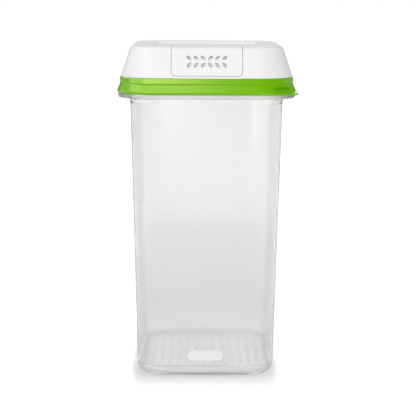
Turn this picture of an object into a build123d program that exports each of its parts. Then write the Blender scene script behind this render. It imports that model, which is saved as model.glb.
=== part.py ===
from build123d import *
from math import atan2, degrees, hypot
import os

# A tall produce keeper, in millimetres: a clear tapered tub, a slotted tray on its floor, and a vented lid
# with a soft skirt. Z is up from the surface it stands on, and the front, with the vent, faces -Y.

# Tub: a tapered box with rounded corners
tub_foot_width = 112.0
tub_foot_corner = 20.0
tub_neck_width = 122.1
tub_neck_corner = 20.0
tub_neck_z = 225.7
tub_wall = 2.0
tub_floor = 2.6
tub_bottom_round = 10.0

# Foot ring under the tub, which drops into the recess of the lid below when two keepers are stacked
foot_ring_inset = 13.5
foot_ring_corner = 7.0
foot_ring_band = 3.0
foot_ring_height = 0.8
stack_clearance = 0.6

# Small rounding of moulded edges
edge_round = 0.5

# Rim of the tub: a flange that stands out from the neck, and an upstand that the lid's skirt straddles
rim_neck = 0.5
rim_blend_round = 4.0
rim_overhang = 9.7
rim_thickness = 3.4
rim_edge_round = 1.3
upstand_offset = 3.2
upstand_thickness = 2.0
upstand_height = 9.9
upstand_round = 0.6
bead_drop = 1.9
bead_height = 1.8
bead_proud = 0.5

# Soft skirt of the lid: a channel over the upstand, with two outer bands and a pull tab at one corner
fit_clearance = 0.3
skirt_web = 2.9
skirt_inner_leg = 1.8
skirt_inner_reach = 7.0
skirt_band = 2.3
skirt_crease_drop = 4.9
skirt_crease_depth = 0.6
skirt_bulge_proud = 2.6
skirt_bulge_rise = 2.2
skirt_bulge_round = 2.0
skirt_hem_proud = 1.4
tab_proud = 0.5
tab_tip_round = 5.0
tab_thickness = 1.6
tab_undercut = 0.9
tab_scoop_radius = 2.6
tab_scoop_depth = 1.0
tab_scoop_turn = 32.0

# Hard shell of the lid
lid_step = 0.55
lid_slope = 8.25
lid_height = 24.3
lid_wall = 2.2
lid_edge_round = 4.0
key_width = 1.4
key_depth = 1.4
key_round = 0.3
key_clearance = 0.1
recess_depth = 2.5
recess_draft = 1.0
recess_round = 1.4

# Vent cover, set flush in a pocket that wraps over the lid's front edge
cover_width = 55.4
cover_lift = 2.1
cover_thickness = 1.8
cover_corner = 3.5
cover_gap = 0.3
cover_wrap = 6.0
pocket_wall = 2.2
vent_pitch = 5.55
vent_columns = 6
vent_length = 4.9
vent_width = 2.5
vent_lean = 48.0

# Window behind the vent, with the membrane and the frame that holds it there
window_margin = 7.7
window_corner = 2.0
membrane_lap = 1.5
membrane_thickness = 0.6
frame_rim = 1.4
frame_clearance = 0.8
frame_thickness = 2.4
frame_lip = 2.2
frame_bar = 1.4
frame_bars = 2
rail_thickness = 1.2
rail_length = 8.0
rail_hook = 0.6
rail_clearance = 0.15
hook_inset = 0.9
hook_thickness = 1.2
hook_length = 5.0
hook_barb = 0.7
hook_reach = 1.6

# Slotted tray that keeps produce off the tub's floor
tray_inset = 3.5
tray_plate = 1.6
tray_height = 4.0
tray_lip = 1.1
tray_lip_height = 1.0
tray_wall_inset = 5.5
tray_wall = 1.4
tray_notch_width = 9.0
tray_notch_height = 1.2
slot_pitch = 7.3
slot_count = 13
slot_length = 5.4
slot_width = 1.6
peg_radius = 1.9
peg_places = (-2.5, -0.5, 0.5, 2.5)

# Levels and places that follow from the sizes above
core_half = tub_neck_width / 2 - tub_neck_corner
floor_z = foot_ring_height + tub_floor
rim_under_z = tub_neck_z + rim_neck + rim_blend_round
shelf_z = rim_under_z + rim_thickness
upstand_top_z = shelf_z + upstand_height
lid_bottom_z = upstand_top_z + fit_clearance + skirt_web
lid_top_z = lid_bottom_z + lid_height
lid_climb = hypot(lid_slope, lid_height)
upstand_in = tub_neck_corner + upstand_offset
upstand_out = upstand_in + upstand_thickness
skirt_out_in = upstand_out + bead_proud + fit_clearance
skirt_leg_out = upstand_in - fit_clearance
skirt_leg_in = skirt_leg_out - skirt_inner_leg
skirt_hem_z = shelf_z + fit_clearance
skirt_band_out = skirt_out_in + skirt_band
lid_bottom_width = 2 * (core_half + skirt_band_out - lid_step)
lid_top_width = lid_bottom_width - 2 * lid_slope
foot_ring_width = tub_foot_width - 2 * foot_ring_inset
recess_floor_width = foot_ring_width + 2 * stack_clearance
recess_floor_corner = foot_ring_corner + stack_clearance
recess_width = recess_floor_width + 2 * recess_draft
recess_corner = recess_floor_corner + recess_draft
tray_width = tub_foot_width - 2 * (tub_wall + tray_inset)
tray_corner = tub_foot_corner - tub_wall - tray_inset
tray_wall_width = tray_width - 2 * tray_wall_inset
tray_plate_z = floor_z + tray_height - tray_plate

# The membrane's frame stands behind the lid's sloping front, between its ledge and its top
backing_depth = cover_thickness + pocket_wall
frame_depth = backing_depth + frame_thickness
frame_low = (lid_climb * (lid_wall + frame_clearance) + lid_slope * frame_depth) / lid_height
frame_top_drop = backing_depth + frame_clearance
frame_high = (lid_climb * (lid_height - frame_top_drop) + lid_slope * backing_depth) / lid_height
frame_height = frame_high - frame_low
vent_height = (frame_high + frame_low) / 2
window_width = cover_width - 2 * window_margin
window_height = frame_height - 2 * (membrane_lap / 2 + rail_clearance + frame_rim)
frame_width = window_width + 2 * (membrane_lap + rail_clearance + frame_rim)


def rounded_square(width, corner, z):
    """A square with rounded corners, lying level at height z."""
    return Pos(0, 0, z) * RectangleRounded(width, width, corner)


def concentric(width, z):
    """A rounded square whose corners share their centres with those of the tub's neck."""
    return rounded_square(width, width / 2 - core_half, z)


def section(corners):
    """A face in the XZ plane through (distance from a corner centre, height, rounding radius)."""
    points = [(x, z) for x, z, _ in corners]
    radii = [radius for _, _, radius in corners]
    return Plane.XZ * make_face(FilletPolyline(*points, radius=radii, close=True))


def carried_round(face):
    """The section carried round the rounded square, as four sides and four turned corners."""
    side = Pos(core_half, core_half, 0) * extrude(face, amount=2 * core_half, dir=(0, -1, 0))
    corner = Pos(core_half, core_half, 0) * revolve(face, Axis.Z, 90)
    ring = side + corner
    for turn in (90, 180, 270):
        ring += Rot(0, 0, turn) * (side + corner)
    return ring


def level_block(x_half, y_low, y_high, z_low, z_high):
    """A block centred on X, between two Y places and two heights."""
    block = Box(2 * x_half, y_high - y_low, z_high - z_low)
    return Pos(0, (y_low + y_high) / 2, (z_low + z_high) / 2) * block


def tub_wall_solid(inset, corner_inset, z_low, bottom_round):
    """The tapered body of the tub, drawn in from its outer face and rounded at the bottom."""
    growth = (tub_neck_width - tub_foot_width) / tub_neck_z
    low = rounded_square(tub_foot_width + growth * z_low - 2 * inset, tub_foot_corner - corner_inset, z_low)
    high = rounded_square(tub_neck_width - 2 * inset, tub_neck_corner - corner_inset, tub_neck_z)
    body = loft([low, high], ruled=True)
    return fillet(body.edges().group_by(Axis.Z)[0], bottom_round)


def make_tub():
    outside = tub_wall_solid(0, 0, foot_ring_height, tub_bottom_round)
    inside = tub_wall_solid(tub_wall, tub_wall, floor_z, tub_bottom_round - tub_wall)
    ring_in = foot_ring_width - 2 * foot_ring_band
    foot = extrude(rounded_square(foot_ring_width, foot_ring_corner, 0), foot_ring_height)
    foot -= extrude(rounded_square(ring_in, foot_ring_corner - foot_ring_band, 0), foot_ring_height)
    wall_in = tub_neck_corner - tub_wall
    rim_out = tub_neck_corner + rim_overhang
    bead_z = upstand_top_z - bead_drop
    rim = section([
        (wall_in, tub_neck_z, 0),
        (wall_in, shelf_z, edge_round),
        (upstand_in, shelf_z, edge_round),
        (upstand_in, upstand_top_z, upstand_round),
        (upstand_out, upstand_top_z, upstand_round),
        (upstand_out, bead_z + bead_height / 2, 0),
        (upstand_out + bead_proud, bead_z, edge_round),
        (upstand_out, bead_z - bead_height / 2, 0),
        (upstand_out, shelf_z, edge_round),
        (rim_out, shelf_z, edge_round),
        (rim_out, rim_under_z, rim_edge_round),
        (tub_neck_corner, rim_under_z, rim_blend_round),
        (tub_neck_corner, tub_neck_z, 0),
    ])
    return outside - inside + foot + carried_round(rim)


def slot_leans_left(column, row, columns):
    """Slots lean in towards the middle column, and turn over from one row to the next."""
    return (column < columns / 2) == (row % 2 == 0)


def slot_cells():
    """Column, row and centre of each slot that lies well inside the tray's rounded outline."""
    reach = tray_width / 2 - tray_corner
    for column in range(slot_count):
        for row in range(slot_count):
            x = (column - (slot_count - 1) / 2) * slot_pitch
            y = (row - (slot_count - 1) / 2) * slot_pitch
            spare = hypot(max(abs(x) - reach, 0), max(abs(y) - reach, 0)) + slot_length / 2
            if spare < tray_corner - tray_lip:
                yield column, row, x, y


def tray_wall_ring():
    """The wall under the tray's edge, notched low down so that water drains under it."""
    corner = tray_corner - (tray_width - tray_wall_width) / 2
    wall = rounded_square(tray_wall_width, corner, floor_z)
    wall -= rounded_square(tray_wall_width - 2 * tray_wall, corner - tray_wall, floor_z)
    notch = Box(tray_notch_width, tray_width, tray_notch_height)
    places = [Pos(side * tray_wall_width / 4, 0, floor_z + tray_notch_height / 2) for side in (-1, 1)]
    notches = [Rot(0, 0, turn) * place * notch for place in places for turn in (0, 90)]
    return extrude(wall, tray_height - tray_plate) - notches


def make_tray():
    slots = []
    for column, row, x, y in slot_cells():
        lean = 45 if slot_leans_left(column, row, slot_count) else -45
        slots.append(Pos(x, y) * Rot(0, 0, lean) * Rectangle(slot_length, slot_width))
    plate = RectangleRounded(tray_width, tray_width, tray_corner) - slots
    lip_z = tray_plate_z + tray_plate
    lip = rounded_square(tray_width, tray_corner, lip_z)
    lip -= rounded_square(tray_width - 2 * tray_lip, tray_corner - tray_lip, lip_z)
    peg = Cylinder(peg_radius, tray_height - tray_plate)
    peg_z = (floor_z + tray_plate_z) / 2
    pegs = [Pos(x * slot_pitch, y * slot_pitch, peg_z) * peg for x in peg_places for y in peg_places]
    deck = extrude(Pos(0, 0, tray_plate_z) * plate, tray_plate)
    return deck + [extrude(lip, tray_lip_height), tray_wall_ring(), *pegs]


def make_skirt():
    band = skirt_band_out
    bulge = band + skirt_bulge_proud
    hem = band + skirt_hem_proud
    crease_z = lid_bottom_z - skirt_crease_drop
    bulge_z = skirt_hem_z + skirt_bulge_rise
    channel_z = lid_bottom_z - skirt_web
    key_out = skirt_out_in - key_clearance
    key_in = key_out - key_width - 2 * key_clearance
    key_z = lid_bottom_z - key_depth - key_clearance
    profile = section([
        (skirt_leg_in, lid_bottom_z, 0),
        (key_in, lid_bottom_z, 0),
        (key_in, key_z, 0),
        (key_out, key_z, 0),
        (key_out, lid_bottom_z, 0),
        (band, lid_bottom_z, edge_round),
        (band, crease_z + skirt_crease_depth, edge_round),
        (band - skirt_crease_depth, crease_z, 0),
        (band, crease_z - skirt_crease_depth, edge_round),
        (bulge, bulge_z, skirt_bulge_round),
        (hem, skirt_hem_z, edge_round),
        (skirt_out_in, skirt_hem_z, 0),
        (skirt_out_in, channel_z, edge_round),
        (skirt_leg_out, channel_z, edge_round),
        (skirt_leg_out, channel_z - skirt_inner_reach, edge_round),
        (skirt_leg_in, channel_z - skirt_inner_reach, edge_round),
    ])
    scoop_z = skirt_hem_z + tab_thickness + tab_scoop_radius
    return carried_round(profile) + pull_tab(bulge + tab_proud) - tab_scoop(band - tab_scoop_depth, scoop_z)


def pull_tab(reach):
    """A thin lip that squares off the skirt's front right corner, drawn in towards its underside."""
    root = skirt_out_in + skirt_band / 2
    top_z = skirt_hem_z + tab_thickness
    band = section([(root, skirt_hem_z, 0), (2 * reach, skirt_hem_z, 0), (2 * reach, top_z, 0), (root, top_z, 0)])
    low = reach - tab_undercut
    outline = Rectangle(low, low, align=(Align.MIN, Align.MAX))
    outline = fillet(outline.vertices().sort_by_distance((low, -low, 0))[0], tab_tip_round)
    spread = degrees(atan2(tab_undercut, tab_thickness))
    corner = extrude(Pos(0, 0, skirt_hem_z) * outline, tab_thickness, taper=-spread)
    return Pos(core_half, -core_half, 0) * (revolve(band, Axis.Z, -90) & corner)


def tab_scoop(depth_radius, z):
    """The round groove above the pull tab for a fingertip, closed by half a ball at each end."""
    middle = depth_radius + tab_scoop_radius
    start = (90 - tab_scoop_turn) / 2
    disc = Plane.XZ * Pos(middle, z) * Circle(tab_scoop_radius)
    groove = [Rot(0, 0, -start) * revolve(disc, Axis.Z, -tab_scoop_turn)]
    for turn in (start, start + tab_scoop_turn):
        groove.append(Rot(0, 0, -turn) * Pos(middle, 0, z) * Sphere(tab_scoop_radius))
    return [Pos(core_half, -core_half, 0) * cut for cut in groove]


def lid_face():
    """The plane of the lid's sloping front, from the middle of its bottom edge, with Y up the slope."""
    outward = (0, -lid_height, lid_slope)
    return Plane(origin=(0, -lid_bottom_width / 2, lid_bottom_z), x_dir=(1, 0, 0), z_dir=outward)


def lid_width_at(z):
    return lid_bottom_width - 2 * lid_slope * (z - lid_bottom_z) / lid_height


def lid_outside():
    """The lid's outer form, with its top edge rounded and the stacking recess sunk in its top."""
    body = loft([concentric(lid_bottom_width, lid_bottom_z), concentric(lid_top_width, lid_top_z)], ruled=True)
    body = fillet(body.edges().group_by(Axis.Z)[-1], lid_edge_round)
    top = rounded_square(recess_width, recess_corner, lid_top_z)
    floor = rounded_square(recess_floor_width, recess_floor_corner, lid_top_z - recess_depth)
    body -= loft([floor, top], ruled=True)
    mouth = body.edges().group_by(Axis.Z)[-1].sort_by_distance((0, 0, lid_top_z))[:8]
    return fillet(mouth, recess_round)


def pocket(gap, depth):
    """The vent cover's form: a slab on the front face and a flap over the top edge, grown by gap."""
    face = lid_face()
    half = cover_width / 2 + gap
    low = cover_lift - gap
    high = lid_climb + lid_edge_round
    outline = Pos(0, (low + high) / 2) * Rectangle(2 * half, high - low)
    outline = fillet(outline.vertices().group_by(Axis.Y)[0], cover_corner + gap)
    slab = extrude(face * (Pos(0, 0, -depth) * outline), depth + lid_edge_round)
    front = -lid_top_width / 2
    over_z = lid_top_z + lid_edge_round
    flap = level_block(half, front - lid_edge_round, front + cover_wrap + gap, lid_top_z - depth, over_z)
    return slab + flap


def lid_cavity():
    """The hollow under the lid, less the floor of the stacking recess and the wall behind the vent cover."""
    top_z = lid_top_z - lid_wall
    side = 2 * lid_wall * lid_climb / lid_height
    hollow = loft([
        concentric(lid_bottom_width - side, lid_bottom_z),
        concentric(lid_width_at(top_z) - side, top_z),
    ], ruled=True)
    under = rounded_square(recess_width + lid_wall, recess_corner + lid_wall / 2, top_z - recess_depth)
    hollow -= extrude(under, recess_depth)
    backing = pocket(pocket_wall, backing_depth)
    return hollow - backing


def make_shell():
    shell = lid_outside() - lid_cavity()
    key_out = skirt_out_in - 2 * key_clearance
    key_in = key_out - key_width
    wall_middle = lid_bottom_width / 2 - core_half - lid_wall / 2
    ledge = section([
        (skirt_leg_in, lid_bottom_z, 0),
        (key_in, lid_bottom_z, 0),
        (key_in, lid_bottom_z - key_depth, key_round),
        (key_out, lid_bottom_z - key_depth, key_round),
        (key_out, lid_bottom_z, 0),
        (wall_middle, lid_bottom_z, 0),
        (wall_middle, lid_bottom_z + lid_wall, 0),
        (skirt_leg_in, lid_bottom_z + lid_wall, edge_round),
    ])
    shell += carried_round(ledge)
    shell -= pocket(cover_gap, cover_thickness)
    shell -= window()
    for sign in (-1, 1):
        shell -= hook_hole(sign)
        shell += frame_rail(sign)
    return shell


def on_face(shape, x, y, z):
    """A shape centred at x across, y up the slope and z out from the lid's front face."""
    return lid_face() * Pos(x, y, z) * shape


def window():
    outline = RectangleRounded(window_width, window_height, window_corner)
    depth = cover_thickness + 2 * pocket_wall
    return lid_face() * (Pos(0, vent_height, -depth) * extrude(outline, depth))


def hook_place():
    return cover_width / 2 - hook_inset - hook_thickness / 2


def hook_hole(sign):
    hole = Box(hook_thickness + hook_barb + 2 * cover_gap, hook_length + 2 * cover_gap, 2 * pocket_wall)
    return on_face(hole, sign * (hook_place() + hook_barb / 2), vent_height, -backing_depth)


def frame_rail(sign):
    """An upright with a hooked edge that traps one end of the membrane's frame behind the window."""
    back = -backing_depth
    reach = frame_thickness + rail_clearance + rail_hook
    wall_x = frame_width / 2 + rail_clearance + rail_thickness / 2
    wall = on_face(Box(rail_thickness, rail_length, reach), sign * wall_x, vent_height, back - reach / 2)
    hook_x = wall_x - (rail_thickness + rail_hook) / 2
    hook_z = back - reach + rail_hook / 2
    return wall + on_face(Box(rail_hook, rail_length, rail_hook), sign * hook_x, vent_height, hook_z)


def leaf():
    """A pointed leaf between two equal arcs, lying along X."""
    half, rise = vent_length / 2, vent_width / 2
    upper = ThreePointArc((-half, 0), (0, rise), (half, 0))
    lower = ThreePointArc((half, 0), (0, -rise), (-half, 0))
    return make_face([upper, lower])


def make_cover():
    cover = lid_outside() & pocket(0, cover_thickness)
    for column in range(vent_columns):
        for row in (0, 1):
            x = (column - (vent_columns - 1) / 2) * vent_pitch
            y = vent_height + (row - 0.5) * vent_pitch
            lean = vent_lean if slot_leans_left(column, row, vent_columns) else -vent_lean
            slot = extrude(Rot(0, 0, lean) * leaf(), 2 * cover_thickness, both=True)
            cover -= on_face(slot, x, y, 0)
    leg = pocket_wall + hook_reach
    for sign in (-1, 1):
        upright = Box(hook_thickness, hook_length, leg)
        cover += on_face(upright, sign * hook_place(), vent_height, -cover_thickness - leg / 2)
        barb_x = hook_place() + (hook_thickness + hook_barb) / 2
        barb_z = -cover_thickness - leg + (hook_reach - cover_gap) / 2
        barb = Box(hook_barb, hook_length, hook_reach - cover_gap)
        cover += on_face(barb, sign * barb_x, vent_height, barb_z)
    return cover


def make_membrane():
    width = window_width + 2 * membrane_lap
    height = window_height + membrane_lap
    sheet = extrude(RectangleRounded(width, height, window_corner), membrane_thickness)
    return on_face(sheet, 0, vent_height, -backing_depth - membrane_thickness)


def make_frame():
    """A rebated frame: the membrane lies in its front, and two bars stand behind it."""
    width = window_width + 2 * (membrane_lap + rail_clearance)
    height = window_height + membrane_lap + 2 * rail_clearance
    body = extrude(RectangleRounded(frame_width, frame_height, window_corner + frame_rim), frame_thickness)
    rebate = extrude(RectangleRounded(width, height, window_corner + rail_clearance), membrane_thickness)
    body -= Pos(0, 0, frame_thickness - membrane_thickness) * rebate
    opening = RectangleRounded(width - 2 * frame_lip, height - 2 * frame_lip, window_corner)
    bay = (width - 2 * frame_lip) / (frame_bars + 1)
    for bar in range(frame_bars):
        opening -= Pos((bar - (frame_bars - 1) / 2) * bay, 0) * Rectangle(frame_bar, height)
    body -= extrude(opening, frame_thickness)
    return on_face(body, 0, vent_height, -frame_depth)


def main():
    os.makedirs("parts", exist_ok=True)
    nodes = {
        "tub": make_tub(),
        "crisper_tray": make_tray(),
        "lid_shell": make_shell(),
        "lid_skirt": make_skirt(),
        "vent_cover": make_cover(),
        "vent_membrane": make_membrane(),
        "membrane_frame": make_frame(),
    }
    for name, shape in nodes.items():
        export_step(shape, f"parts/{name}.step")


main()
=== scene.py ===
import math
import bmesh
import bpy
import numpy as np
from mathutils import Matrix, Vector

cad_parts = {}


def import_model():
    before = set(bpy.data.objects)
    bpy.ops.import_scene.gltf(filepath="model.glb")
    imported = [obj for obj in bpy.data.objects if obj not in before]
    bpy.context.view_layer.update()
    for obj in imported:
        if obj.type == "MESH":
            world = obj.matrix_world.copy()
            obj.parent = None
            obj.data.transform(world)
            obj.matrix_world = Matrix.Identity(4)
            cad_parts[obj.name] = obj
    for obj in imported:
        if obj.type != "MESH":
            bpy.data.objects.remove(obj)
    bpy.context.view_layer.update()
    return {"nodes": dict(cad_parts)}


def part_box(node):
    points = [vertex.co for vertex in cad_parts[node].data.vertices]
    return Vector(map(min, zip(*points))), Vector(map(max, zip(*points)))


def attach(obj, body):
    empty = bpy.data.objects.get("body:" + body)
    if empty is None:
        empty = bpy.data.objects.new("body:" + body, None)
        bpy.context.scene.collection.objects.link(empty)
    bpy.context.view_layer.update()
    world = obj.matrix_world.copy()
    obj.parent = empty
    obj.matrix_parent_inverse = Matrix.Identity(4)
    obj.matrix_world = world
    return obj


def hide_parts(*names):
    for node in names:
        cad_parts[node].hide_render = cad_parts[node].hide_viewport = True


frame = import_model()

# The looks of a tall produce keeper: a clear tapered tub, a slotted tray inside it, and a white lid with a
# green skirt. Z is up, the front faces -Y, and every length is in metres. Shapes that run round the keeper
# are outlines of (half width, height, rounding, core): the core is how far the corner centres stand from the
# middle, so that half width less core is the corner radius at that point of the outline.

MM = 0.001

# Points of a mesh nearer than this are one, and its edges that turn by more than this stay sharp
POINTS_APART = 0.001 * MM
SHARP_EDGE = math.radians(40)

# Levels and widths read from the frame
TUB_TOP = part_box("tub")[1].z
LID_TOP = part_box("lid_shell")[1].z
LID_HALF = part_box("lid_shell")[1].x
LID_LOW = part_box("lid_skirt")[1].z
SKIRT_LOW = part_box("lid_skirt")[0].z

# Places along a straight side, as shares of its half, and finer ones round the pull tab's corner
SIDE_PLACES = (0.985, 0.5, 0.0, -0.5, -0.985)
TIP_SPAN = (0.4, 0.6)
TIP_PLACES = 41

# Points round a pad, on a corner of the vent cover and of the window behind it, and along a leaf's arc
PAD_PLACES = 32
COVER_CORNER_PLACES = 13
WINDOW_CORNER_PLACES = 7
LEAF_PLACES = 13

# Tub
NECK_CORE = 41.05 * MM
FOOT_CORE = 36.0 * MM
TUB_CORNER = 20.0 * MM
TUB_WALL = 2.0 * MM
NECK_Z = 225.7 * MM
FOOT_Z = 0.8 * MM
FLOOR_Z = 3.4 * MM
BOTTOM_ROUND = 10.0 * MM
FOOT_RING_HALF = 42.5 * MM
FOOT_RING_BAND = 3.0 * MM
RIM_HALF = 70.75 * MM
RIM_UNDER = 230.2 * MM
RIM_BLEND = 4.0 * MM
RIM_TOP = 233.6 * MM
RIM_ROUND = 1.3 * MM
UPSTAND_IN = 64.25 * MM
UPSTAND_OUT = 66.25 * MM
UPSTAND_ROUND = 0.6 * MM
BEAD_Z = 241.6 * MM
BEAD_HALF = 0.9 * MM
FINE_EDGE = 0.3 * MM
SOFT_EDGE = 0.5 * MM
HAZE_UNDER_RIM = 0.2 * MM
HAZE_OVER_RIM = 0.1 * MM

# Lid
LID_TOP_HALF = 60.6 * MM
LID_EDGE_ROUND = 4.0 * MM
LID_WALL = 2.2 * MM
RECESS_HALF = 44.1 * MM
RECESS_CORE = 35.5 * MM
RECESS_DEPTH = 2.5 * MM
RECESS_DRAFT = 1.6 * MM
RECESS_ROUND = 1.9 * MM
RECESS_FLOOR_RUN = 4.0 * MM
SKIRT_LEG_IN = 62.15 * MM
SKIRT_LEG_OUT = 63.95 * MM
SKIRT_OUT_IN = 67.05 * MM
SKIRT_BAND = 69.35 * MM
SKIRT_HEM = 70.75 * MM
SKIRT_BULGE = 71.86 * MM
CREASE_Z = 241.8 * MM
CREASE_DEPTH = 0.35 * MM
BULGE_Z = 235.4 * MM
BULGE_ROUND = 1.3 * MM
CHANNEL_Z = 243.8 * MM
LEG_END_Z = 236.8 * MM
SKIRT_STEP = 0.5 * MM
TONGUE = 1.4 * MM
TONGUE_GAP = 0.1 * MM

# Pull tab. The last two are in degrees of the corner's turn from either of its ends.
TAB_TIP_ROUND = 5.0 * MM
TAB_PROUD = 0.59 * MM
TAB_LIP = 1.4 * MM
TAB_FADE = 1.2 * MM
TAB_HOLLOW = 1.8 * MM
TAB_DRAWN_IN = 0.16
TAB_RISE = (0, 14)
HOLLOW_RISE = (14, 32)

# Vent cover and its leaf slots
COVER_HALF = 27.7 * MM
COVER_LIFT = 2.1 * MM
COVER_THICK = 1.8 * MM
COVER_CORNER = 3.5 * MM
COVER_GAP = 0.4 * MM
COVER_WRAP = 6.0 * MM
BACKING_WALL = 2.2 * MM
WINDOW_HALF = 20.0 * MM
WINDOW_TALL = 12.0 * MM
WINDOW_CORNER = 2.0 * MM
SHEET_BOW = 2.0 * MM
SHEET_THICK = 0.3 * MM
VENT_PITCH = 5.55 * MM
VENT_COLUMNS = 6
VENT_HEIGHT = 13.65 * MM
LEAF_HALF = 2.45 * MM
LEAF_RISE = 1.35 * MM
LEAF_LEAN = math.radians(48)
LEAF_FLARE = 0.15
LEAF_DEEP = 2.5 * MM
LEAF_PROUD = 0.5 * MM
SHEET_DEEP = 0.1 * MM
SHEET_CLEAR = 0.05 * MM
SHEET_TRIM = 0.985
SHEET_COLUMNS = 45
SHEET_ROWS = 21

# How far the forms that cut the lid reach past its surface, in or out
CUT_REACH = 8.0 * MM
CUT_TOP = 4.0 * MM
CUT_UP_SLOPE = 40.0 * MM
CUT_WINDOW = 2.0 * MM

# Plain pads on the tub's front and back
PAD_Z = 19.7 * MM
PAD_HALF = 14.6 * MM
PAD_TALL = 8.6 * MM
PAD_CORNER = 4.0 * MM
PAD_PROUD = 0.35 * MM
PAD_GAP = 0.02 * MM
PAD_EDGE = 0.15 * MM

# The photograph's camera
CAMERA_PLACE = (-8 * MM, -1041 * MM, 316 * MM)
CAMERA_TURN = math.radians(-0.554)
CAMERA_TILT = math.radians(80)
CAMERA_ROLL = math.radians(0.3)
CAMERA_LENS = 107.9

# Light. A pair of tuples is a row of places and the strength at each, which stepped() passes through: on the
# floor the places are metres, and in the surroundings they are parts of a unit direction. "Mirrored" is what
# reflections see, and "through tub" what shows through the clear plastic.
WORLD_LIGHT = 0.6
INSIDE_LIGHT = 1.95
SHEEN_LIGHT = 2.7
FAR_FLOOR = ((2.4, 2.6), (0, 1))
FRONT_FLOOR = ((-0.5, 0), (1, 0))
CARD_SIDE = ((-0.03, 0.15), (SHEEN_LIGHT, 0))
PANEL_SIDE = ((-0.01, 0.04), (1, 0))
PANEL_FAR_SIDE = ((-0.6, -0.35), (1, 0))
PANEL_FAR_HEIGHT = ((0.42, 0.49), (0, 1))
PANEL_FRONT = ((0.5, 0.8), (1, 0))
PANEL_HEIGHT = ((0.1, 0.3, 0.55, 0.65, 0.78, 0.86), (1, 0.2, 0.2, 1, 1, 0))
# Painted shadow: the floor's lift seen straight on is lowest at the foot and rises outwards, darkening the
# floor round the foot beyond its real shadow.
OPEN_FLOOR_LIFT_PAINTED_SHADOW = ((-0.01, 0.004, 0.012, 0.02, 0.03, 0.8), (0.14, 0.18, 0.23, 0.32, 0.5, 0.75))
# Painted shade: the floor seen through the tub is lifted most under the foot and least a little way out, and
# takes a darker tone, so that the tub greys towards its bottom.
FLOOR_THROUGH_TUB_PAINTED_SHADE = ((-0.01, 0.02, 0.15, 0.45, 0.8, 1.3), (0.5, 0.41, 0.36, 0.42, 0.6, 0.62))
FLOOR_TONE = 0.75
FLOOR_TONE_THROUGH_TUB = 0.4
FLOOR_TONE_MIRRORED = 0.1
# Painted shadow: X counts for more than Y in the distance from the foot, so the painted shadow and shade end
# sooner at the sides.
PAINTED_SHADOW_SPREAD = (4.4, 1.0, 1.0)
SIDES_MIRRORED = 0.4
SIDES_THROUGH_TUB = 1.25
FRONT_MIRRORED = 0.1
BESIDE = ((-0.3, 0.1), (0, 1))
BESIDE_LOW = ((0.0, 0.15), (1, 0))
BEHIND = ((0.9, 0.99), (0, 1))
FLOOR_HALF = 6.0

# Lamps, all turned to one target: name, place, size, power, and whether reflections show it
LAMP_TARGET = (0, 0, 0.13)
LAMPS = (
    ("key", (-0.52, -1.5, 0.57), 1.1, 7.7, True),
    ("fill_right", (1.1, -0.8, 1.6), 1.2, 9, False),
    ("fill_left", (-1.6, -0.8, 1.0), 1.2, 4.5, False),
)

# Scale and detail of the grain in the tub's plastics, and strength and distance of its bump
BROAD_GRAIN = (60, 2)
FINE_GRAIN = (400, 3)
FAINT_BUMP = (0.05, 0.02 * MM)
SLIGHT_BUMP = (0.1, 0.05 * MM)


def around(arc_steps=20, dense_corner=None):
    """Places round a rounded square, counter-clockwise from the start of its rear right corner. Each place is
    the share of the core to its centre in X and Y, and its unit direction: (share x, share y, cos, sin)."""
    side = np.array(SIDE_PLACES)
    few = len(side)
    rows = []
    for quarter, (sx, sy) in enumerate(((1, 1), (-1, 1), (-1, -1), (1, -1))):
        turn = np.linspace(0, 1, arc_steps + 1)
        if quarter == dense_corner:
            twice = np.linspace(0, 1, 2 * arc_steps + 1)
            turn = np.unique(np.concatenate([twice, np.linspace(*TIP_SPAN, TIP_PLACES)]))
        angle = (quarter + turn) * math.pi / 2
        rows.append(np.stack([0 * angle + sx, 0 * angle + sy, np.cos(angle), np.sin(angle)]))
        end = (quarter + 1) * math.pi / 2
        along = side if quarter in (0, 2) else np.ones(few)
        across = side if quarter in (1, 3) else np.ones(few)
        cos, sin = np.full(few, math.cos(end)), np.full(few, math.sin(end))
        rows.append(np.stack([sx * along, sy * across, cos, sin]))
    return np.concatenate(rows, axis=1)


def corner_arc(before, corner, after, radius, steps):
    """The arc of that radius tangent to both runs at a corner: its points turn evenly about the centre,
    which lies on the bisector at radius / sin(half the corner's angle)."""
    u = (before - corner) / np.linalg.norm(before - corner)
    v = (after - corner) / np.linalg.norm(after - corner)
    half = math.acos(np.clip(u @ v, -1, 1)) / 2
    reach = radius / math.tan(half)
    bisector = (u + v) / np.linalg.norm(u + v)
    centre = corner + bisector * radius / math.sin(half)
    start, end = corner + u * reach - centre, corner + v * reach - centre
    sweep = math.pi - 2 * half
    share = np.linspace(0, 1, steps + 1)[:, None]
    return centre + (np.sin((1 - share) * sweep) * start + np.sin(share * sweep) * end) / math.sin(sweep)


def outline(corners, closed=False, steps=8, hold=0.4 * MM, most=0.3):
    """Points (half width, height, core) along straight runs with rounded corners. Each run gets a point near
    each of its ends, hold away or the share most of the run if that is less, which keeps the shading of the
    rounding off the run."""
    flat = np.array([c[:2] for c in corners], float)
    core = np.array([c[3] for c in corners], float)
    count = len(corners)
    pieces = []
    for i in range(count):
        inner = closed or 0 < i < count - 1
        if inner and corners[i][2] > 0:
            arc = corner_arc(flat[i - 1], flat[i], flat[(i + 1) % count], corners[i][2], steps)
        else:
            arc = flat[i:i + 1]
        pieces.append(np.column_stack([arc, np.full(len(arc), core[i])]))
    path = []
    for i in range(count):
        path.append(pieces[i])
        if closed or i < count - 1:
            start, end = pieces[i][-1], pieces[(i + 1) % count][0]
            near = min(most, hold / max(np.linalg.norm((end - start)[:2]), 1e-9))
            share = np.array([near, 1 - near])[:, None]
            path.append(start + (end - start) * share)
    return np.concatenate(path)


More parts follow.
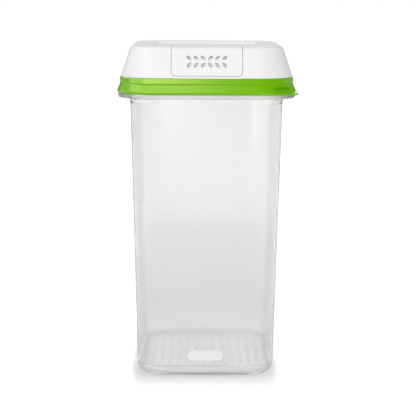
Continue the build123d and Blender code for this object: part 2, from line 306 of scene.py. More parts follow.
def carried(path, places):
    """The outline carried round the rounded square: at each place a point stands at core x share, plus
    (half width - core) along the place's direction. Returns rows of the outline by places round it."""
    width, height, core = path.T
    share_x, share_y, cos, sin = places
    x = np.outer(core, share_x) + np.outer(width - core, cos)
    y = np.outer(core, share_y) + np.outer(width - core, sin)
    return np.stack([x, y, np.repeat(height[:, None], len(cos), axis=1)], axis=2)


def ring_mesh(name, points, closed=False):
    """A mesh over rows of points that each run round and close. The rows close on each other too if closed
    is true, and else the first and last rows are capped with one face each."""
    rows, places = points.shape[:2]
    row = np.arange(rows if closed else rows - 1)[:, None]
    place = np.arange(places)[None, :]
    low, high = row * places, (row + 1) % rows * places
    beside = (place + 1) % places
    quads = np.stack([low + place, low + beside, high + beside, high + place], axis=2).reshape(-1, 4)
    faces = quads.tolist()
    if not closed:
        faces.append(np.arange(places)[::-1].tolist())
        faces.append((np.arange(places) + (rows - 1) * places).tolist())
    return solid(name, points.reshape(-1, 3), faces)


def solid(name, vertices, faces):
    mesh = bpy.data.meshes.new(name)
    mesh.from_pydata(np.asarray(vertices, float).tolist(), [], faces)
    mesh.validate()
    finish(mesh)
    thing = bpy.data.objects.new(name, mesh)
    bpy.context.scene.collection.objects.link(thing)
    return thing


def finish(mesh):
    """Merges points that coincide, so that no face is without area, and shades all but sharp edges smooth."""
    form = bmesh.new()
    form.from_mesh(mesh)
    bmesh.ops.remove_doubles(form, verts=form.verts, dist=POINTS_APART)
    form.to_mesh(mesh)
    form.free()
    mesh.polygons.foreach_set("use_smooth", np.ones(len(mesh.polygons), bool))
    mesh.set_sharp_from_angle(angle=SHARP_EDGE)
    mesh.update()


def cut(thing, operation, tool):
    """Applies a boolean operation to thing with the tool, and removes the tool."""
    change = thing.modifiers.new("cut", "BOOLEAN")
    change.operation = operation
    change.object = tool
    change.solver = "EXACT"
    view = bpy.context.evaluated_depsgraph_get()
    result = bpy.data.meshes.new_from_object(thing.evaluated_get(view))
    thing.modifiers.clear()
    thing.data = result
    bpy.data.objects.remove(tool)


def tub():
    """One outline from the middle of the underside out round the foot ring and the bottom's rounding, up the
    leaning wall, out and over the rim, and down the inside to the floor."""
    ring_in = FOOT_RING_HALF - FOOT_RING_BAND
    foot_half = FOOT_CORE + TUB_CORNER
    neck_half = NECK_CORE + TUB_CORNER
    bead_out = UPSTAND_OUT + SOFT_EDGE
    path = outline([
        (ring_in, FOOT_Z, 0, FOOT_CORE),
        (ring_in, 0, FINE_EDGE, FOOT_CORE),
        (FOOT_RING_HALF, 0, FINE_EDGE, FOOT_CORE),
        (FOOT_RING_HALF, FOOT_Z, FINE_EDGE, FOOT_CORE),
        (foot_half, FOOT_Z, BOTTOM_ROUND, FOOT_CORE),
        (neck_half, NECK_Z, 0, NECK_CORE),
        (neck_half, RIM_UNDER, RIM_BLEND, NECK_CORE),
        (RIM_HALF, RIM_UNDER, RIM_ROUND, NECK_CORE),
        (RIM_HALF, RIM_TOP, SOFT_EDGE, NECK_CORE),
        (UPSTAND_OUT, RIM_TOP, SOFT_EDGE, NECK_CORE),
        (UPSTAND_OUT, BEAD_Z - BEAD_HALF, 0, NECK_CORE),
        (bead_out, BEAD_Z, SOFT_EDGE, NECK_CORE),
        (UPSTAND_OUT, BEAD_Z + BEAD_HALF, 0, NECK_CORE),
        (UPSTAND_OUT, TUB_TOP, UPSTAND_ROUND, NECK_CORE),
        (UPSTAND_IN, TUB_TOP, UPSTAND_ROUND, NECK_CORE),
        (UPSTAND_IN, RIM_TOP, SOFT_EDGE, NECK_CORE),
        (neck_half - TUB_WALL, RIM_TOP, SOFT_EDGE, NECK_CORE),
        (neck_half - TUB_WALL, NECK_Z, 0, NECK_CORE),
        (foot_half - TUB_WALL, FLOOR_Z, BOTTOM_ROUND - TUB_WALL, FOOT_CORE),
        (ring_in, FLOOR_Z, 0, FOOT_CORE),
    ])
    return ring_mesh("tub_wall", carried(path, around()))


def pad(name, side):
    """A plain flat pad that stands a little proud of the tub's front (side -1) or back (side 1), on the lean
    of the wall. Its loop is a rounded rectangle, drawn in by the edge's softness on its outer face."""
    lean = (NECK_CORE - FOOT_CORE) / NECK_Z
    up = np.array([0, side * lean, 1]) / math.hypot(1, lean)
    out = np.array([0, side, -lean]) / math.hypot(1, lean)
    middle = np.array([0, side * (FOOT_CORE + TUB_CORNER + lean * PAD_Z), PAD_Z])
    reach = np.array([PAD_HALF, PAD_TALL / 2]) - PAD_CORNER
    turn = np.linspace(0, 2 * math.pi, PAD_PLACES, endpoint=False)
    away = np.column_stack([np.cos(turn), np.sin(turn)]) * (-side, 1)
    rows = []
    for radius, height in ((PAD_CORNER, PAD_GAP), (PAD_CORNER, PAD_PROUD - PAD_EDGE),
                           (PAD_CORNER - PAD_EDGE, PAD_PROUD)):
        loop = np.sign(away.round(9)) * reach + away * radius
        rows.append(middle + loop[:, :1] * (1, 0, 0) + loop[:, 1:] * up + height * out)
    return ring_mesh(name, np.stack(rows))


def skirt_outline():
    """The skirt's section: a groove for the lid's tongue, two outer bands with a crease between them, and a
    channel between two legs that straddles the tub's upstand."""
    key_out = SKIRT_OUT_IN - TONGUE_GAP
    key_in = key_out - TONGUE - 2 * TONGUE_GAP
    key_z = LID_LOW - TONGUE - TONGUE_GAP
    return [
        (SKIRT_LEG_OUT, LEG_END_Z, SOFT_EDGE, NECK_CORE),
        (SKIRT_LEG_IN, LEG_END_Z, SOFT_EDGE, NECK_CORE),
        (SKIRT_LEG_IN, LID_LOW, 0, NECK_CORE),
        (key_in, LID_LOW, 0, NECK_CORE),
        (key_in, key_z, 0, NECK_CORE),
        (key_out, key_z, 0, NECK_CORE),
        (key_out, LID_LOW, 0, NECK_CORE),
        (SKIRT_BAND, LID_LOW, SOFT_EDGE, NECK_CORE),
        (SKIRT_BAND, CREASE_Z + CREASE_DEPTH, SOFT_EDGE, NECK_CORE),
        (SKIRT_BAND - CREASE_DEPTH, CREASE_Z, 0, NECK_CORE),
        (SKIRT_BAND, CREASE_Z - CREASE_DEPTH, SOFT_EDGE, NECK_CORE),
        (SKIRT_BULGE, BULGE_Z, BULGE_ROUND, NECK_CORE),
        (SKIRT_HEM, SKIRT_LOW, SOFT_EDGE, NECK_CORE),
        (SKIRT_OUT_IN, SKIRT_LOW, 0, NECK_CORE),
        (SKIRT_OUT_IN, CHANNEL_Z, SOFT_EDGE, NECK_CORE),
        (SKIRT_LEG_OUT, CHANNEL_Z, SOFT_EDGE, NECK_CORE),
    ]


def smooth(value, start, end):
    """0 before start, 1 past end, and an even S between them."""
    share = np.clip((value - start) / (end - start), 0, 1)
    return share * share * (3 - 2 * share)


def refined(path, step):
    """A closed outline with extra points along its runs, about a step apart."""
    closed = np.concatenate([path, path[:1]])
    length = np.concatenate([[0], np.cumsum(np.hypot(*np.diff(closed[:, :2], axis=0).T))])
    extra = np.linspace(0, length[-1], int(length[-1] / step) + 1)
    at = np.unique(np.concatenate([length, extra]))[:-1]
    return np.column_stack([np.interp(at, length, closed[:, i]) for i in range(3)])


def tab_edge(places):
    """How far the pull tab's edge stands from the front right corner's centre at each place: a square corner
    with a rounded tip. The second row is how much of the tab a place has: 0 but for that corner, where it
    rises to 1 a little way in from both ends. The third row rises to 1 further in, over the hollow."""
    share_x, share_y, cos, sin = places
    half = SKIRT_BULGE + TAB_PROUD - NECK_CORE
    right, front = np.maximum(cos, 1e-9), np.maximum(-sin, 1e-9)
    flat = half / np.maximum(right, front)
    tip = half - TAB_TIP_ROUND
    towards = (right + front) * tip
    rounded = towards + np.sqrt(np.maximum(towards ** 2 - 2 * tip ** 2 + TAB_TIP_ROUND ** 2, 0))
    edge = np.where(flat * np.minimum(right, front) > tip, rounded, flat)
    turn = np.degrees(np.arctan2(right, front))
    from_end = np.minimum(turn, 90 - turn)
    at_corner = (share_x == 1) & (share_y == -1)
    share = np.where(at_corner, smooth(from_end, *TAB_RISE), 0)
    return edge, share, np.where(at_corner, smooth(from_end, *HOLLOW_RISE), 0)


def skirt():
    """The skirt's section carried round, with the pull tab drawn out of its lower band at one corner.
    There the band first sinks to a hollow, by an arch low between the crease and the lip, and then each
    point moves out towards the tab's edge by the lip's share at its height: 1 at the lip's top, a little
    less at its foot, and 0 just above it. The skirt's underside follows its outer edge in proportion."""
    path = refined(outline(skirt_outline(), closed=True, steps=6), SKIRT_STEP)
    places = around(arc_steps=24, dense_corner=3)
    points = carried(path, places)
    width, height, _ = path.T
    edge, share, over_hollow = tab_edge(places)
    lip_top = SKIRT_LOW + TAB_LIP
    hollow_top = CREASE_Z - CREASE_DEPTH
    outward = np.clip((width - SKIRT_OUT_IN) / (SKIRT_BAND - SKIRT_OUT_IN), 0, 1)
    follow = np.where(height < hollow_top, outward, 0)
    radius = width - NECK_CORE
    arch = np.sin(math.pi * np.clip((hollow_top - height) / (hollow_top - lip_top), 0, 1) ** 2)
    hollow = np.minimum(radius, SKIRT_BAND - NECK_CORE) - TAB_HOLLOW * arch
    sunk = np.outer(hollow - radius, over_hollow)
    lip = 1 - smooth(height, lip_top, lip_top + TAB_FADE)
    lip -= TAB_DRAWN_IN * (1 - smooth(height, SKIRT_LOW, lip_top))
    drawn = np.outer(lip, share) * (edge - (radius[:, None] + sunk))
    move = follow[:, None] * (sunk + drawn)
    points[:, :, 0] += move * places[2]
    points[:, :, 1] += move * places[3]
    return ring_mesh("lid_skirt_soft", points, closed=True)


def lid_outside():
    """The part of the shell's section that shows: the leaning side, the top edge and the recess."""
    recess_floor = LID_TOP - RECESS_DEPTH
    floor_half = RECESS_HALF - RECESS_DRAFT
    return [
        (LID_HALF, LID_LOW, FINE_EDGE, NECK_CORE),
        (LID_TOP_HALF, LID_TOP, LID_EDGE_ROUND, NECK_CORE),
        (RECESS_HALF, LID_TOP, RECESS_ROUND, RECESS_CORE),
        (floor_half, recess_floor, RECESS_ROUND, RECESS_CORE),
        (floor_half - RECESS_FLOOR_RUN, recess_floor, 0, RECESS_CORE),
    ]


def lid_outline():
    """The shell's section from the middle of its underside out along the ledge, round the tongue and on to
    the part that shows."""
    top_under = LID_TOP - LID_WALL
    lean = (LID_HALF - LID_TOP_HALF) / (LID_TOP - LID_LOW)
    side = LID_WALL * math.hypot(1, lean)
    inner_top = LID_TOP_HALF + lean * LID_WALL - side
    inner_low = LID_HALF - lean * LID_WALL - side
    key_out = SKIRT_OUT_IN - 2 * TONGUE_GAP
    key_in = key_out - TONGUE
    block = RECESS_HALF + LID_WALL / 2
    return [
        (block, top_under - RECESS_DEPTH, 0, RECESS_CORE),
        (block, top_under, FINE_EDGE, RECESS_CORE),
        (inner_top, top_under, FINE_EDGE, NECK_CORE),
        (inner_low, LID_LOW + LID_WALL, FINE_EDGE, NECK_CORE),
        (SKIRT_LEG_IN, LID_LOW + LID_WALL, FINE_EDGE, NECK_CORE),
        (SKIRT_LEG_IN, LID_LOW, 0, NECK_CORE),
        (key_in, LID_LOW, 0, NECK_CORE),
        (key_in, LID_LOW - TONGUE, FINE_EDGE, NECK_CORE),
        (key_out, LID_LOW - TONGUE, FINE_EDGE, NECK_CORE),
        (key_out, LID_LOW, 0, NECK_CORE),
        *lid_outside(),
    ]


def lid_body(name):
    return ring_mesh(name, carried(outline(lid_outline()), around(arc_steps=28)))


def face_frame():
    """The lid's sloping front: the middle of its bottom edge, and unit steps across, up and out of it."""
    climb = np.array([0.0, LID_HALF - LID_TOP_HALF, LID_TOP - LID_LOW])
    up = climb / np.linalg.norm(climb)
    across = np.array([1.0, 0.0, 0.0])
    return np.array([0.0, -LID_HALF, LID_LOW]), across, up, np.cross(across, up)


def on_face(flat, out):
    """Points (across, up the slope) placed on the lid's front at a distance out from it."""
    origin, across, up, outward = face_frame()
    flat = np.asarray(flat, float)
    return origin + flat[:, :1] * across + flat[:, 1:2] * up + out * outward


def prism(name, low, high):
    """A closed solid between two loops with as many points, each counter-clockwise seen from high."""
    count = len(low)
    i = np.arange(count)
    sides = np.stack([i, (i + 1) % count, (i + 1) % count + count, i + count], axis=1).tolist()
    ends = [i[::-1].tolist(), (i + count).tolist()]
    return solid(name, np.concatenate([low, high]), sides + ends)


def cover_slab(name, grow, depth):
    """A U-shaped slab through the lid's front face, its lower corners rounded, that runs past the top."""
    half, low, high = COVER_HALF + grow, COVER_LIFT - grow, CUT_UP_SLOPE
    radius = COVER_CORNER + grow
    turn = np.linspace(0, math.pi / 2, COVER_CORNER_PLACES)
    right = np.column_stack([half - radius + radius * np.sin(turn), low + radius - radius * np.cos(turn)])
    left = right[::-1] * (-1, 1)
    loop = np.concatenate([left, right, [(half, high), (-half, high)]])
    return prism(name, on_face(loop, -depth), on_face(loop, CUT_REACH))


def cover_flap(name, grow, depth):
    """The block that takes the vent cover over the lid's top edge."""
    half = COVER_HALF + grow
    front, back = -LID_TOP_HALF - CUT_TOP, -LID_TOP_HALF + COVER_WRAP + grow
    loop = np.array([(-half, front), (half, front), (half, back), (-half, back)])
    low = np.column_stack([loop, np.full(4, LID_TOP - depth)])
    high = np.column_stack([loop, np.full(4, LID_TOP + CUT_TOP)])
    return prism(name, low, high)


def cover_form(name, grow, depth):
    form = cover_slab(name, grow, depth)
    cut(form, "UNION", cover_flap(name + "_flap", grow, depth))
    return form


def leaf(column, row, scale):
    """A pointed leaf between two arcs. Its top leans in towards the lid's middle in the lower row, and out
    from it in the upper one. Each arc is a parabola: its rise times 1 less the square of the place along
    the leaf."""
    left = (column < VENT_COLUMNS / 2) == (row == 0)
    lean = LEAF_LEAN if left else -LEAF_LEAN
    share = np.linspace(-1, 1, LEAF_PLACES)
    edge = np.column_stack([share * LEAF_HALF, LEAF_RISE * (1 - share ** 2)])
    loop = np.concatenate([edge * (1, -1), edge[-2:0:-1]])
    turn = np.array([[math.cos(lean), math.sin(lean)], [-math.sin(lean), math.cos(lean)]])
    centre = ((column - (VENT_COLUMNS - 1) / 2) * VENT_PITCH, VENT_HEIGHT + (row - 0.5) * VENT_PITCH)
    return scale * loop @ turn + centre


def window_slab():
    """The opening behind the vent's slots: a rounded rectangle carried through the wall behind the cover."""
    reach = np.array([WINDOW_HALF, WINDOW_TALL / 2]) - WINDOW_CORNER
    turn = np.linspace(0, math.pi / 2, WINDOW_CORNER_PLACES)
    arc = np.column_stack([np.cos(turn), np.sin(turn)]) * WINDOW_CORNER + reach
    half = np.concatenate([arc, arc[::-1] * (-1, 1)])
    loop = np.concatenate([half, -half]) + (0, VENT_HEIGHT)
    return prism("window", on_face(loop, -CUT_REACH), on_face(loop, CUT_WINDOW))


def lid_shell():
    """The lid with a wall behind the vent cover, the cover's pocket in its front and the vent's window."""
    shell = lid_body("lid_shell_skin")
    backing = ring_mesh("backing", carried(outline(lid_outside()), around(arc_steps=28)))
    cut(backing, "INTERSECT", cover_form("backing_space", BACKING_WALL, COVER_THICK + BACKING_WALL))
    cut(shell, "UNION", backing)
    cut(shell, "DIFFERENCE", cover_form("pocket", COVER_GAP, COVER_THICK))
    cut(shell, "DIFFERENCE", window_slab())
    finish(shell.data)
    return shell


def vent_cover():
    cover = lid_body("vent_cover_skin")
    cut(cover, "INTERSECT", cover_form("cover_space", 0, COVER_THICK))
    for column in range(VENT_COLUMNS):
        for row in (0, 1):
            deep = on_face(leaf(column, row, 1 - LEAF_FLARE), -LEAF_DEEP)
            proud = on_face(leaf(column, row, 1 + LEAF_FLARE), LEAF_PROUD)
            cut(cover, "DIFFERENCE", prism("leaf", deep, proud))
    finish(cover.data)
    return cover


def sheet_mesh(name, front, back, columns):
    """A closed sheet between two grids of points, row by row, joined by one band of faces round the edge."""
    count = len(front)
    rows = count // columns
    start = (np.arange(rows - 1)[:, None] * columns + np.arange(columns - 1)).ravel()
    quads = np.stack([start, start + 1, start + columns + 1, start + columns], axis=1)
    grid = np.arange(count).reshape(rows, columns)
    edge = np.concatenate([grid[0], grid[1:, -1], grid[-1, -2::-1], grid[-2:0:-1, 0]])
    after = np.roll(edge, -1)
    band = np.stack([after, edge, edge + count, after + count], axis=1)
    faces = np.concatenate([quads, quads[:, ::-1] + count, band])
    return solid(name, np.concatenate([front, back]), faces.tolist())


def membrane():
    """The breathable sheet: flat at its edges and bowed out towards the slots, by the product of two
    flat-topped humps, one across and one up the slope, but never past the front of its CAD box. Each hump is
    1 less a power of the place's share of the window's half."""
    low, high = (np.array(corner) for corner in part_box("vent_membrane"))
    lean = (LID_HALF - LID_TOP_HALF) / (LID_TOP - LID_LOW)
    climb = np.array([-1, 1]) * (high[2] - low[2]) / 2 * SHEET_TRIM
    up = VENT_HEIGHT + np.linspace(*climb, SHEET_ROWS) * math.hypot(1, lean)
    u, v = np.meshgrid(np.linspace(low[0], high[0], SHEET_COLUMNS), up)
    hump_across = np.clip(1 - (u / WINDOW_HALF) ** 6, 0, 1)
    hump = hump_across * np.clip(1 - ((v - VENT_HEIGHT) * 2 / WINDOW_TALL) ** 4, 0, 1)
    outward = face_frame()[3]
    deep = (COVER_THICK + BACKING_WALL + SHEET_DEEP - SHEET_BOW * hump.ravel())[:, None]
    front = on_face(np.column_stack([u.ravel(), v.ravel()]), 0) - deep * outward
    front[:, 1] = np.maximum(front[:, 1], low[1] + SHEET_CLEAR)
    return sheet_mesh("vent_membrane_sheet", front, front - SHEET_THICK * outward, SHEET_COLUMNS)


def link(tree, start, end):
    tree.links.new(start, end)


def material(name, **values):
    """A material with a Principled shader, its sockets set by name, and the tree to add detail to."""
    made = bpy.data.materials.new(name)
    made.use_nodes = True
    shader = made.node_tree.nodes["Principled BSDF"]
    for key, value in values.items():
        shader.inputs[key.replace("_", " ")].default_value = value
    return made, made.node_tree, shader


def object_noise(tree, scale, detail=3.0, roughness=0.5):
    """Noise on the object's own coordinates, its scale in waves to the metre."""
    place = tree.nodes.new("ShaderNodeTexCoord")
    noise = tree.nodes.new("ShaderNodeTexNoise")
    noise.inputs["Scale"].default_value = scale
    noise.inputs["Detail"].default_value = detail
    noise.inputs["Roughness"].default_value = roughness
    link(tree, place.outputs["Object"], noise.inputs["Vector"])
    return noise


def ranged(tree, value, low, high):
    """The value from 0 to 1 laid out between low and high."""
    span = tree.nodes.new("ShaderNodeMapRange")
    span.inputs["To Min"].default_value = low
    span.inputs["To Max"].default_value = high
    link(tree, value, span.inputs["Value"])
    return span.outputs["Result"]


def bump(tree, shader, height, strength, distance):
    made = tree.nodes.new("ShaderNodeBump")
    made.inputs["Strength"].default_value = strength
    made.inputs["Distance"].default_value = distance
    link(tree, height, made.inputs["Height"])
    link(tree, made.outputs["Normal"], shader.inputs["Normal"])


def tint(tree, shader, factor, first, second):
    """Base colour that varies between two near tones."""
    ramp = tree.nodes.new("ShaderNodeValToRGB")
    ramp.color_ramp.elements[0].color = (*first, 1)
    ramp.color_ramp.elements[1].color = (*second, 1)
    ramp.color_ramp.elements[0].position = 0.3
    ramp.color_ramp.elements[1].position = 0.7
    link(tree, factor, ramp.inputs["Fac"])
    link(tree, ramp.outputs["Color"], shader.inputs["Base Color"])


def moulded(name, first, second, rough_low, rough_high, **values):
    """Moulded plastic: two near tones in broad soft patches, a fine grain in its roughness, and the faint
    unevenness of a tool-finished surface in its bump."""
    made, tree, shader = material(name, **values)
    patches = object_noise(tree, scale=18, detail=2)
    tint(tree, shader, patches.outputs["Fac"], first, second)
    grain = object_noise(tree, scale=900, detail=4, roughness=0.6)
    link(tree, ranged(tree, grain.outputs["Fac"], rough_low, rough_high), shader.inputs["Roughness"])
    bump(tree, shader, grain.outputs["Fac"], strength=0.15, distance=0.05 * MM)
    return made


def tub_plastic(name, tone, grain, roughened, **values):
    """One of the tub's plastics, by its grain's scale and detail and its bump's strength and distance."""
    made, tree, shader = material(name, Base_Color=(*tone, 1), **values)
    bump(tree, shader, object_noise(tree, *grain).outputs["Fac"], *roughened)
    return made


def clear_plastic():
    return tub_plastic(
        "clear_tub_plastic", (0.96, 0.96, 0.955), BROAD_GRAIN, FAINT_BUMP, Roughness=0.12, IOR=1.45,
        Transmission_Weight=0.93)


def bottom_plastic():
    """The tub's plastic in its bottom rounding, thick enough there to blur what it bends."""
    return tub_plastic(
        "bottom_tub_plastic", (0.82, 0.82, 0.817), BROAD_GRAIN, FAINT_BUMP, Roughness=0.3, IOR=1.15,
        Transmission_Weight=0.95)


def hazy_plastic():
    """The tub's plastic where it is thick, at the rim."""
    return tub_plastic(
        "hazy_tub_plastic", (0.66, 0.66, 0.655), FINE_GRAIN, SLIGHT_BUMP, Roughness=0.4, IOR=1.06,
        Transmission_Weight=0.7)


def blended_plastic():
    """The tub's plastic where its wall blends out to the rim, which light passes almost straight."""
    return tub_plastic(
        "blended_tub_plastic", (0.97, 0.97, 0.965), FINE_GRAIN, FAINT_BUMP, Roughness=0.2, IOR=1.03,
        Transmission_Weight=0.9)


def woven_sheet():
    """The thin breathable sheet behind the vent: fine white fibres that let a little light through."""
    made, tree, shader = material("breathable_sheet", Roughness=0.8, IOR=1.2, Transmission_Weight=0.1)
    fibres = object_noise(tree, scale=2500, detail=5, roughness=0.7)
    tint(tree, shader, fibres.outputs["Fac"], (0.94, 0.94, 0.94), (0.97, 0.97, 0.97))
    bump(tree, shader, fibres.outputs["Fac"], strength=0.4, distance=0.1 * MM)
    return made


def white_lid_plastic():
    return moulded("white_lid_plastic", (0.82, 0.82, 0.835), (0.84, 0.84, 0.85), 0.3, 0.42)


def green_skirt_rubber():
    return moulded(
        "green_skirt_rubber", (0.155, 0.46, 0.0), (0.17, 0.475, 0.001), 0.1, 0.13, Specular_IOR_Level=0.9,
        Specular_Tint=(1, 1, 0.42, 1))


def frosted_tray_plastic():
    return moulded(
        "frosted_tray_plastic", (0.9, 0.9, 0.9), (0.93, 0.93, 0.93), 0.25, 0.35, Transmission_Weight=0.48)


def frosted_pad_plastic():
    return moulded(
        "frosted_pad_plastic", (0.93, 0.93, 0.93), (0.97, 0.97, 0.97), 0.4, 0.5, Transmission_Weight=0.15)


def clear_pad_plastic():
    return moulded(
        "clear_pad_plastic", (0.98, 0.98, 0.98), (1.0, 1.0, 1.0), 0.6, 0.7, Transmission_Weight=1, IOR=1.2)


def inner_white_plastic():
    return moulded("inner_white_plastic", (0.9, 0.9, 0.9), (0.94, 0.94, 0.94), 0.4, 0.5)


def dress(thing, *finishes):
    thing.data.materials.clear()
    for finish in finishes:
        thing.data.materials.append(finish)


def dress_tub(wall):
    """Clear walls and upstand, plastic that bends light less in the bottom rounding and between the neck and
    the rim, and a hazy rim."""
    dress(wall, bottom_plastic(), clear_plastic(), blended_plastic(), hazy_plastic())
    mesh = wall.data
    centres = np.empty(3 * len(mesh.polygons))
    mesh.polygons.foreach_get("center", centres)
    height = centres.reshape(-1, 3)[:, 2]
    levels = (FOOT_Z + BOTTOM_ROUND, NECK_Z, RIM_UNDER - HAZE_UNDER_RIM, RIM_TOP + HAZE_OVER_RIM)
    from_bottom_up = np.array([0, 1, 2, 3, 1])
    mesh.polygons.foreach_set("material_index", from_bottom_up[np.digitize(height, levels)])


def place(thing, body, slot_name, *stands_for):
    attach(thing, body)
    if stands_for:
        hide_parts(*stands_for)


def maths(tree, operation, first, second):
    made = tree.nodes.new("ShaderNodeMath")
    made.operation = operation
    link(tree, first, made.inputs[0])
    link(tree, second, made.inputs[1])
    return made.outputs[0]


def seen_rays(tree, kinds=("Is Camera Ray", "Is Glossy Ray", "Is Transmission Ray")):
    """1 for what is seen by rays of these kinds, and else 0."""
    path = tree.nodes.new("ShaderNodeLightPath")
    seen = path.outputs[kinds[0]]
    for kind in kinds[1:]:
        seen = maths(tree, "MAXIMUM", seen, path.outputs[kind])
    return seen


def after_diffuse(tree):
    """1 for a ray that has left a dull surface on its way, and else 0."""
    most = tree.nodes.new("ShaderNodeMath")
    most.operation = "MINIMUM"
    most.inputs[1].default_value = 1
    link(tree, tree.nodes.new("ShaderNodeLightPath").outputs["Diffuse Depth"], most.inputs[0])
    return most.outputs[0]


def mixed(tree, factor, first, second):
    """From first to second by the factor. Each of those two is a socket or a plain number."""
    mix = tree.nodes.new("ShaderNodeMix")
    link(tree, factor, mix.inputs[0])
    for socket, value in ((mix.inputs[2], first), (mix.inputs[3], second)):
        if isinstance(value, (int, float)):
            socket.default_value = value
        else:
            link(tree, value, socket)
    return mix.outputs[0]


def foot_distance(tree):
    """How far a place on the floor lies outside the keeper's foot: the length of (|x|, |y|) less the foot's
    core, where that is more than nothing, less the corner's rounding. X counts for more than Y, so that the
    painted shadow on the floor ends sooner at the sides."""
    value = tree.nodes.new("ShaderNodeTexCoord").outputs["Object"]
    core = (FOOT_CORE + TUB_CORNER * (1 - 1 / PAINTED_SHADOW_SPREAD[0]), FOOT_CORE, 1)
    steps = (("ABSOLUTE", core), ("SUBTRACT", core), ("MAXIMUM", (0, 0, 0)), ("MULTIPLY", PAINTED_SHADOW_SPREAD))
    for operation, constant in steps:
        step = tree.nodes.new("ShaderNodeVectorMath")
        step.operation = operation
        step.inputs[1].default_value = constant
        link(tree, value, step.inputs[0])
        value = step.outputs["Vector"]
    length = tree.nodes.new("ShaderNodeVectorMath")
    length.operation = "LENGTH"
    link(tree, value, length.inputs[0])
    outside = tree.nodes.new("ShaderNodeMath")
    outside.operation = "SUBTRACT"
    outside.inputs[1].default_value = TUB_CORNER
    link(tree, length.outputs["Value"], outside.inputs[0])
    return outside.outputs[0]


def stepped(tree, value, places, strengths):
    """A strength that passes through each of the strengths at its place, with an even S between them."""
    total = None
    for start, end, low, high in zip(places, places[1:], strengths, strengths[1:]):
        rise = tree.nodes.new("ShaderNodeMapRange")
        rise.interpolation_type = "SMOOTHSTEP"
        rise.inputs["From Min"].default_value = start
        rise.inputs["From Max"].default_value = end
        rise.inputs["To Min"].default_value = low if total is None else 0
        rise.inputs["To Max"].default_value = high if total is None else high - low
        link(tree, value, rise.inputs["Value"])
        risen = rise.outputs["Result"]
        total = risen if total is None else maths(tree, "ADD", total, risen)
    return total


def floor():
    """A wide flat floor that takes the keeper's shadow. Seen straight on it is lifted to white, less close to
    the keeper, which paints a darker shadow round the foot on top of the real one. Seen through the clear tub
    it is darker and lifted less, a painted shade that greys the tub towards its bottom, and to what stands
    inside the tub it gives as much light as the surroundings do. Far out, where the skirt mirrors it, it is
    dark but for a bright card at the left, which carries the sheen on."""
    loop = [(x * FLOOR_HALF, y * FLOOR_HALF, 0) for x, y in ((-1, -1), (1, -1), (1, 1), (-1, 1))]
    thing = solid("floor", loop, [[0, 1, 2, 3]])
    made, tree, shader = material("white_floor", Roughness=0.9)
    shader.inputs["Specular IOR Level"].default_value = 0
    shader.inputs["Emission Color"].default_value = (1, 1, 1, 1)
    away = foot_distance(tree)
    through_tub = seen_rays(tree, ("Is Transmission Ray",))
    on_floor = tree.nodes.new("ShaderNodeTexCoord").outputs["Object"]
    at = tree.nodes.new("ShaderNodeSeparateXYZ")
    link(tree, on_floor, at.inputs[0])
    reach = tree.nodes.new("ShaderNodeVectorMath")
    reach.operation = "LENGTH"
    link(tree, on_floor, reach.inputs[0])
    far = stepped(tree, reach.outputs["Value"], *FAR_FLOOR)
    far = maths(tree, "MULTIPLY", far, stepped(tree, at.outputs[1], *FRONT_FLOOR))
    far_mirrored = maths(tree, "MULTIPLY", far, seen_rays(tree, ("Is Glossy Ray",)))
    # Painted shade: the floor's tone is darker where it is seen through the tub.
    tone = mixed(tree, through_tub, FLOOR_TONE, FLOOR_TONE_THROUGH_TUB)
    link(tree, mixed(tree, far_mirrored, tone, FLOOR_TONE_MIRRORED), shader.inputs["Base Color"])
    card = maths(tree, "MULTIPLY", stepped(tree, at.outputs[0], *CARD_SIDE), far_mirrored)
    # Painted shadow: seen straight on, the floor is lifted less near the foot.
    straight = maths(tree, "MULTIPLY", stepped(tree, away, *OPEN_FLOOR_LIFT_PAINTED_SHADOW), seen_rays(tree, ("Is Camera Ray",)))
    # Painted shade: the floor seen through the tub is lifted by its distance from the foot, greying the tub
    # towards its bottom.
    through = mixed(tree, after_diffuse(tree), stepped(tree, away, *FLOOR_THROUGH_TUB_PAINTED_SHADE), INSIDE_LIGHT)
    through = maths(tree, "MULTIPLY", through, through_tub)
    lift = maths(tree, "MAXIMUM", straight, through)
    link(tree, maths(tree, "MAXIMUM", lift, card), shader.inputs["Emission Strength"])
    dress(thing, made)


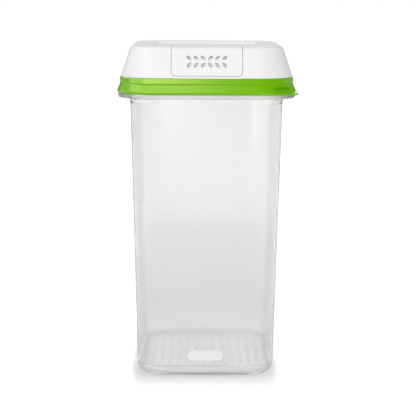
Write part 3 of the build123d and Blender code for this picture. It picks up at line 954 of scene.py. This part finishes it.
def world():
    """Soft even surroundings for what they light. The camera sees pure white past all. A reflection sees
    white behind the keeper, grey sides low down, which draw its edges, a dark front, and a wide bright panel
    high up at the front left, which gives the skirt its sheen. The clear tub sees bright sides instead."""
    made = bpy.data.worlds.new("surroundings")
    bpy.context.scene.world = made
    made.use_nodes = True
    tree = made.node_tree
    back = tree.nodes["Background"]
    back.inputs["Color"].default_value = (1, 1, 1, 1)
    towards = tree.nodes.new("ShaderNodeSeparateXYZ")
    link(tree, tree.nodes.new("ShaderNodeTexCoord").outputs["Generated"], towards.inputs[0])
    x, y, z = towards.outputs
    through_tub = seen_rays(tree, ("Is Transmission Ray",))
    sides = maths(tree, "MULTIPLY", stepped(tree, y, *BESIDE), stepped(tree, z, *BESIDE_LOW))
    around_keeper = mixed(tree, sides, FRONT_MIRRORED, SIDES_MIRRORED)
    around_keeper = mixed(tree, through_tub, around_keeper, SIDES_THROUGH_TUB)
    around_keeper = mixed(tree, stepped(tree, y, *BEHIND), around_keeper, 1.0)
    panel = maths(tree, "MULTIPLY", stepped(tree, x, *PANEL_SIDE), stepped(tree, y, *PANEL_FRONT))
    far_side = stepped(tree, x, *PANEL_FAR_SIDE)
    far_side = maths(tree, "MULTIPLY", far_side, stepped(tree, z, *PANEL_FAR_HEIGHT))
    height = maths(tree, "MAXIMUM", stepped(tree, z, *PANEL_HEIGHT), far_side)
    panel = maths(tree, "MULTIPLY", panel, height)
    mirrored = maths(tree, "ADD", around_keeper, ranged(tree, panel, 0, SHEEN_LIGHT))
    mirrored = mixed(tree, after_diffuse(tree), mirrored, INSIDE_LIGHT)
    mirrored = maths(tree, "MULTIPLY", mirrored, seen_rays(tree, ("Is Glossy Ray", "Is Transmission Ray")))
    seen = maths(tree, "MAXIMUM", mirrored, seen_rays(tree, ("Is Camera Ray",)))
    unseen = maths(tree, "SUBTRACT", seen_rays(tree, ("Is Diffuse Ray",)), seen)
    plain = tree.nodes.new("ShaderNodeMath")
    plain.operation = "MULTIPLY"
    plain.inputs[1].default_value = WORLD_LIGHT
    link(tree, unseen, plain.inputs[0])
    link(tree, maths(tree, "MAXIMUM", seen, plain.outputs[0]), back.inputs["Strength"])


def lamp(name, place_at, size, power, mirrored):
    """A square area lamp, turned to the target. It shows in reflections only if mirrored is true."""
    light = bpy.data.lights.new(name, "AREA")
    light.shape = "SQUARE"
    light.size = size
    light.energy = power
    thing = bpy.data.objects.new(name, light)
    bpy.context.scene.collection.objects.link(thing)
    thing.location = place_at
    thing.rotation_euler = (Vector(LAMP_TARGET) - Vector(place_at)).to_track_quat("-Z", "Y").to_euler()
    thing.visible_glossy = mirrored


def camera():
    data = bpy.data.cameras.new("camera")
    data.sensor_width = 36
    data.lens = CAMERA_LENS
    thing = bpy.data.objects.new("camera", data)
    bpy.context.scene.collection.objects.link(thing)
    turn = Matrix.Rotation(CAMERA_TURN, 4, "Z") @ Matrix.Rotation(CAMERA_TILT, 4, "X")
    thing.matrix_world = Matrix.Translation(CAMERA_PLACE) @ turn @ Matrix.Rotation(CAMERA_ROLL, 4, "Z")
    bpy.context.scene.camera = thing


def tub_pieces():
    wall = tub()
    dress_tub(wall)
    place(wall, "tub", "clear_plastic", "tub")
    for name, side, finish in (("front_pad", -1, frosted_pad_plastic), ("back_pad", 1, clear_pad_plastic)):
        plate = pad(name, side)
        dress(plate, finish())
        place(plate, "tub", "clear_plastic")


def lid_pieces():
    soft = skirt()
    dress(soft, green_skirt_rubber())
    place(soft, "lid", "green_elastomer", "lid_skirt")
    white = white_lid_plastic()
    shell = lid_shell()
    dress(shell, white)
    place(shell, "lid", "white_plastic", "lid_shell")
    cover = vent_cover()
    dress(cover, white)
    place(cover, "lid", "cover_plastic", "vent_cover")
    dress(frame["nodes"]["membrane_frame"], inner_white_plastic())
    sheet = membrane()
    dress(sheet, woven_sheet())
    place(sheet, "lid", "membrane", "vent_membrane")


def main():
    tub_pieces()
    lid_pieces()
    dress(frame["nodes"]["crisper_tray"], frosted_tray_plastic())
    floor()
    world()
    for values in LAMPS:
        lamp(*values)
    camera()
    bpy.context.scene.view_settings.view_transform = "Standard"


main()
